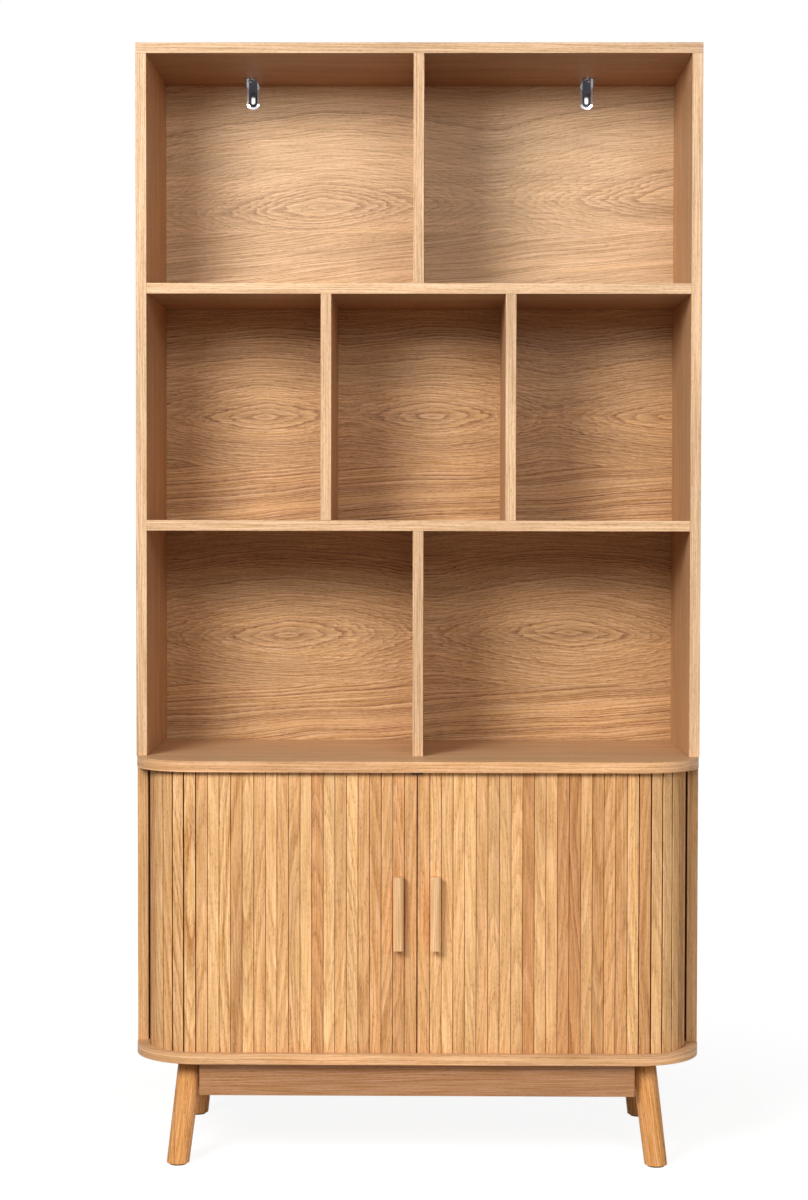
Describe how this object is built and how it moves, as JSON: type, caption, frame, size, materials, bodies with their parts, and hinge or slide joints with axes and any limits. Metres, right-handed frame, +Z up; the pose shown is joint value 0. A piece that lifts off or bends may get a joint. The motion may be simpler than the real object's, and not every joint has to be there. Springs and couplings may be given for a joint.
{
  "type": "bookcase with sliding doors",
  "caption": "Oak bookcase with open compartments above a low cabinet, closed by slatted tambour doors that slide round its rounded front corners, on splayed round legs.",
  "frame": {"origin": "middle of the object's bounding box, on the floor", "axes": "+Z up, +Y from the doors to the back, +X to the right as seen from the front"},
  "size_m": [0.9, 0.397, 1.776],
  "materials": {
    "board_oak": "lacquered oak veneer, satin",
    "cabinet_oak": "lacquered oak veneer, satin",
    "back_oak": "lacquered oak veneer with crown grain, satin",
    "slat_oak": "lacquered solid oak slats on canvas",
    "handle_oak": "lacquered solid oak",
    "leg_oak": "oiled turned oak, satin to gloss",
    "inner_board": "oak veneer, matt",
    "polished_steel": "polished",
    "zinc_steel": "zinc plated",
    "black_plastic": "moulded, matt",
    "grey_felt": "needled felt"
  },
  "bodies": {
    "carcass": {"top_board": "board_oak", "upper_side_left": "board_oak", "upper_side_right": "board_oak", "shelf_upper": "board_oak", "shelf_lower": "board_oak", "divider_top": "board_oak", "divider_middle_left": "board_oak", "divider_middle_right": "board_oak", "divider_bottom": "board_oak", "back_panel_top": "back_oak", "back_panel_middle": "back_oak", "back_panel_bottom": "back_oak", "wall_bracket_left": "polished_steel", "wall_bracket_right": "polished_steel", "bracket_screw_left": "zinc_steel", "bracket_screw_right": "zinc_steel", "cabinet_top_board": "cabinet_oak", "cabinet_bottom_board": "cabinet_oak", "cabinet_side_left": "cabinet_oak", "cabinet_side_right": "cabinet_oak", "cabinet_back_panel": "back_oak", "centre_partition": "inner_board", "inner_wall_left": "inner_board", "inner_wall_right": "inner_board", "inner_shelf_left": "inner_board", "inner_shelf_right": "inner_board", "door_stop": "black_plastic", "front_rail": "cabinet_oak", "rear_rail": "cabinet_oak", "side_rail_left": "cabinet_oak", "side_rail_right": "cabinet_oak", "front_left_leg": "leg_oak", "front_right_leg": "leg_oak", "rear_left_leg": "leg_oak", "rear_right_leg": "leg_oak", "front_left_leg_plate": "zinc_steel", "front_right_leg_plate": "zinc_steel", "rear_left_leg_plate": "zinc_steel", "rear_right_leg_plate": "zinc_steel", "front_left_glide": "grey_felt", "front_right_glide": "grey_felt", "rear_left_glide": "grey_felt", "rear_right_glide": "grey_felt", "left_front_curtain": "slat_oak", "left_corner_curtain": "slat_oak", "right_front_curtain": "slat_oak", "right_corner_curtain": "slat_oak"},
    "left_door": {"left_lead_slat": "slat_oak", "left_handle_slat": "slat_oak", "left_near_slats": "slat_oak", "left_handle": "handle_oak", "left_handle_screw_upper": "zinc_steel", "left_handle_screw_lower": "zinc_steel"},
    "right_door": {"right_lead_slat": "slat_oak", "right_handle_slat": "slat_oak", "right_near_slats": "slat_oak", "right_handle": "handle_oak", "right_handle_screw_upper": "zinc_steel", "right_handle_screw_lower": "zinc_steel"}
  },
  "joints": [
    {"name": "left_door_slide", "type": "slide", "parent": "carcass", "child": "left_door", "axis": [-1, 0, 0], "range_m": [0, 0.2498], "deforming": ["left_front_curtain"]},
    {"name": "right_door_slide", "type": "slide", "parent": "carcass", "child": "right_door", "axis": [1, 0, 0], "range_m": [0, 0.2498], "deforming": ["right_front_curtain"]}
  ]
}
